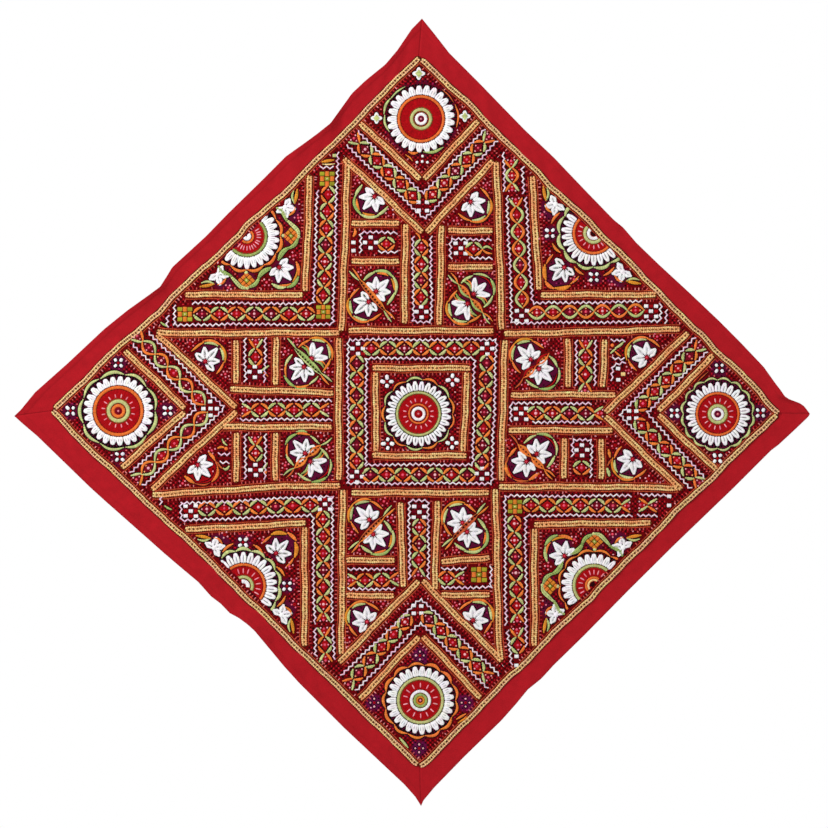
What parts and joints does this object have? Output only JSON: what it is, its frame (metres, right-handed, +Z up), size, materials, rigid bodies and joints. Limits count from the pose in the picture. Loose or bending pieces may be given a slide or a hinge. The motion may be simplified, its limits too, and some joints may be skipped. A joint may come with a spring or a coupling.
{
  "type": "embroidered wall hanging",
  "caption": "Square patchwork wall hanging, densely hand embroidered with medallions, flowers and chain-stitch bands inside a plain red border, hung on the diagonal by one corner.",
  "frame": {"origin": "pinning point in the top corner, 6 mm under the top tip, on the wall plane behind the cloth", "axes": "+Z up, +X to the right as seen from the front, -Y out of the wall towards the viewer; the embroidered face looks along -Y"},
  "size_m": [1.0636, 0.0136, 1.0518],
  "materials": {
    "embroidered_cloth": "matt cotton with close cotton thread stitching",
    "border_cloth": "plain woven cotton, faint sheen"
  },
  "bodies": {
    "root": {"centre_square": "embroidered_cloth", "arm_top": "embroidered_cloth", "arm_left": "embroidered_cloth", "arm_bottom": "embroidered_cloth", "arm_right": "embroidered_cloth", "corner_square_top": "embroidered_cloth", "corner_square_left": "embroidered_cloth", "corner_square_bottom": "embroidered_cloth", "corner_square_right": "embroidered_cloth", "side_triangle_upper_left": "embroidered_cloth", "side_triangle_upper_right": "embroidered_cloth", "side_triangle_lower_right": "embroidered_cloth", "side_triangle_lower_left": "embroidered_cloth", "border_upper_left": "border_cloth", "border_upper_right": "border_cloth", "border_lower_right": "border_cloth", "border_lower_left": "border_cloth"}
  },
  "joints": []
}
